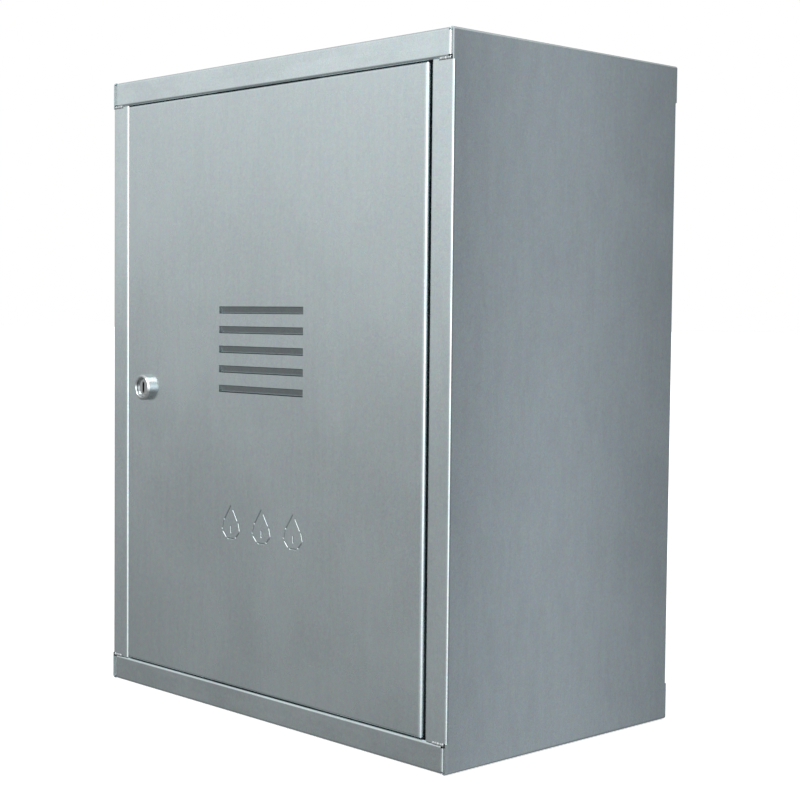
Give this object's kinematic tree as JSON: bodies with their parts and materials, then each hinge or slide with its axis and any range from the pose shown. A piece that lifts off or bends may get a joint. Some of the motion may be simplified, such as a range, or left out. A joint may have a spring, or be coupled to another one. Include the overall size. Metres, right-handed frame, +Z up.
{
  "type": "gas meter",
  "caption": "Galvanised sheet-steel wall cabinet with a louvred, lockable door, holding a diaphragm gas meter, its pipes and a shut-off valve.",
  "frame": {"origin": "centre of the cabinet's underside", "axes": "+Z up along the cabinet's height, +Y from the door towards the wall, +X to the right seen from the front"},
  "size_m": [0.4, 0.2461, 0.5],
  "materials": {
    "galvanised": "satin",
    "weld": "satin",
    "zinc": "satin",
    "pipe_steel": "satin",
    "lock_chrome": "polished",
    "brass": "satin",
    "meter_paint": "satin",
    "rubber": "matte",
    "black_plastic": "matte",
    "white_plastic": "matte",
    "unit_plastic": "matte",
    "index_plastic": "satin",
    "window": "polished",
    "dial": "matte",
    "yellow_paint": "satin",
    "drum_red": "satin",
    "drum_black": "satin"
  },
  "bodies": {
    "cabinet": {"side_left": "galvanised", "side_right": "galvanised", "top_pan": "galvanised", "bottom_pan": "galvanised", "back_panel": "galvanised", "corner_welds": "weld", "hinge_bushes": "black_plastic", "pipe_sockets": "zinc", "pipe_seals": "rubber", "inlet_nipple": "pipe_steel", "inlet_pipe": "pipe_steel", "outlet_pipe": "pipe_steel", "union_nuts": "brass", "union_gaskets": "rubber", "meter_bracket": "zinc", "bracket_locknuts": "zinc", "bracket_screws": "zinc", "valve_body": "brass", "valve_tailpiece": "brass", "valve_seats": "white_plastic", "case_front": "meter_paint", "case_rear": "meter_paint", "seam_band": "zinc", "meter_ports": "meter_paint", "chamber_body": "unit_plastic", "chamber_covers": "unit_plastic", "diaphragms": "rubber", "valve_table": "unit_plastic", "drive_bearings": "brass", "outlet_duct": "unit_plastic", "index_housing": "index_plastic", "index_window": "window", "index_plate": "dial", "index_axle": "zinc", "transfer_pinions": "white_plastic"},
    "door": {"door_panel": "galvanised", "hinge_pins": "zinc", "pin_clips": "zinc", "lock_housing": "lock_chrome", "lock_nut": "zinc"},
    "lock_barrel": {"lock_plug": "lock_chrome", "lock_wafers": "brass", "lock_cam": "zinc", "lock_screw": "zinc"},
    "valve_handle": {"valve_ball": "lock_chrome", "valve_stem": "brass", "valve_handle": "yellow_paint", "handle_nut": "zinc"},
    "crank": {"crank": "white_plastic"},
    "drive": {"drive_shaft": "white_plastic"},
    "slide_left": {"slide_valve_left": "black_plastic"},
    "slide_right": {"slide_valve_right": "black_plastic"},
    "drum_1": {"index_drum_1": "drum_red"},
    "drum_2": {"index_drum_2": "drum_red"},
    "drum_3": {"index_drum_3": "drum_red"},
    "drum_4": {"index_drum_4": "drum_black"},
    "drum_5": {"index_drum_5": "drum_black"},
    "drum_6": {"index_drum_6": "drum_black"},
    "drum_7": {"index_drum_7": "drum_black"},
    "drum_8": {"index_drum_8": "drum_black"}
  },
  "joints": [
    {"name": "door_hinge", "type": "hinge", "parent": "cabinet", "child": "door", "pos_m": [0.1684, -0.1128, 0.25], "axis": [0, 0, 1], "range_deg": [0, 110]},
    {"name": "lock_turn", "type": "hinge", "parent": "door", "child": "lock_barrel", "pos_m": [-0.1513, -0.11, 0.2485], "axis": [0, -1, 0], "range_deg": [0, 90]},
    {"name": "valve_handle", "type": "hinge", "parent": "cabinet", "child": "valve_handle", "pos_m": [-0.14, 0, 0.062], "axis": [0, 1, 0], "range_deg": [0, 90]},
    {"name": "crank_turn", "type": "hinge", "parent": "cabinet", "child": "crank", "pos_m": [0.0305, 0.014, 0.25], "axis": [0, 0, 1], "continuous": true},
    {"name": "drive_turn", "type": "hinge", "parent": "cabinet", "child": "drive", "pos_m": [0.0435, 0, 0.262], "axis": [0, 1, 0], "continuous": true},
    {"name": "slide_left", "type": "slide", "parent": "cabinet", "child": "slide_left", "axis": [0, 1, 0], "range_m": [-0.005, 0.005]},
    {"name": "slide_right", "type": "slide", "parent": "cabinet", "child": "slide_right", "axis": [0, 1, 0], "range_m": [-0.005, 0.005]},
    {"name": "drum_1_turn", "type": "hinge", "parent": "cabinet", "child": "drum_1", "pos_m": [0.0308, -0.054, 0.262], "axis": [-1, 0, 0], "continuous": true},
    {"name": "drum_2_turn", "type": "hinge", "parent": "cabinet", "child": "drum_2", "pos_m": [0.022, -0.054, 0.262], "axis": [-1, 0, 0], "continuous": true},
    {"name": "drum_3_turn", "type": "hinge", "parent": "cabinet", "child": "drum_3", "pos_m": [0.0132, -0.054, 0.262], "axis": [-1, 0, 0], "continuous": true},
    {"name": "drum_4_turn", "type": "hinge", "parent": "cabinet", "child": "drum_4", "pos_m": [0.0044, -0.054, 0.262], "axis": [-1, 0, 0], "continuous": true},
    {"name": "drum_5_turn", "type": "hinge", "parent": "cabinet", "child": "drum_5", "pos_m": [-0.0044, -0.054, 0.262], "axis": [-1, 0, 0], "continuous": true},
    {"name": "drum_6_turn", "type": "hinge", "parent": "cabinet", "child": "drum_6", "pos_m": [-0.0132, -0.054, 0.262], "axis": [-1, 0, 0], "continuous": true},
    {"name": "drum_7_turn", "type": "hinge", "parent": "cabinet", "child": "drum_7", "pos_m": [-0.022, -0.054, 0.262], "axis": [-1, 0, 0], "continuous": true},
    {"name": "drum_8_turn", "type": "hinge", "parent": "cabinet", "child": "drum_8", "pos_m": [-0.0308, -0.054, 0.262], "axis": [-1, 0, 0], "continuous": true}
  ],
  "couplings": [
    {"joint": "drive_turn", "follows": "crank_turn", "ratio": 0.1},
    {"joint": "drum_1_turn", "follows": "crank_turn", "ratio": 0.12},
    {"joint": "drum_2_turn", "follows": "crank_turn", "ratio": 0.012},
    {"joint": "drum_3_turn", "follows": "crank_turn", "ratio": 0.0012},
    {"joint": "drum_4_turn", "follows": "crank_turn", "ratio": 0.00012},
    {"joint": "drum_5_turn", "follows": "crank_turn", "ratio": 0.000012},
    {"joint": "drum_6_turn", "follows": "crank_turn", "ratio": 0.0000012},
    {"joint": "drum_7_turn", "follows": "crank_turn", "ratio": 0.00000012},
    {"joint": "drum_8_turn", "follows": "crank_turn", "ratio": 0.000000012}
  ]
}
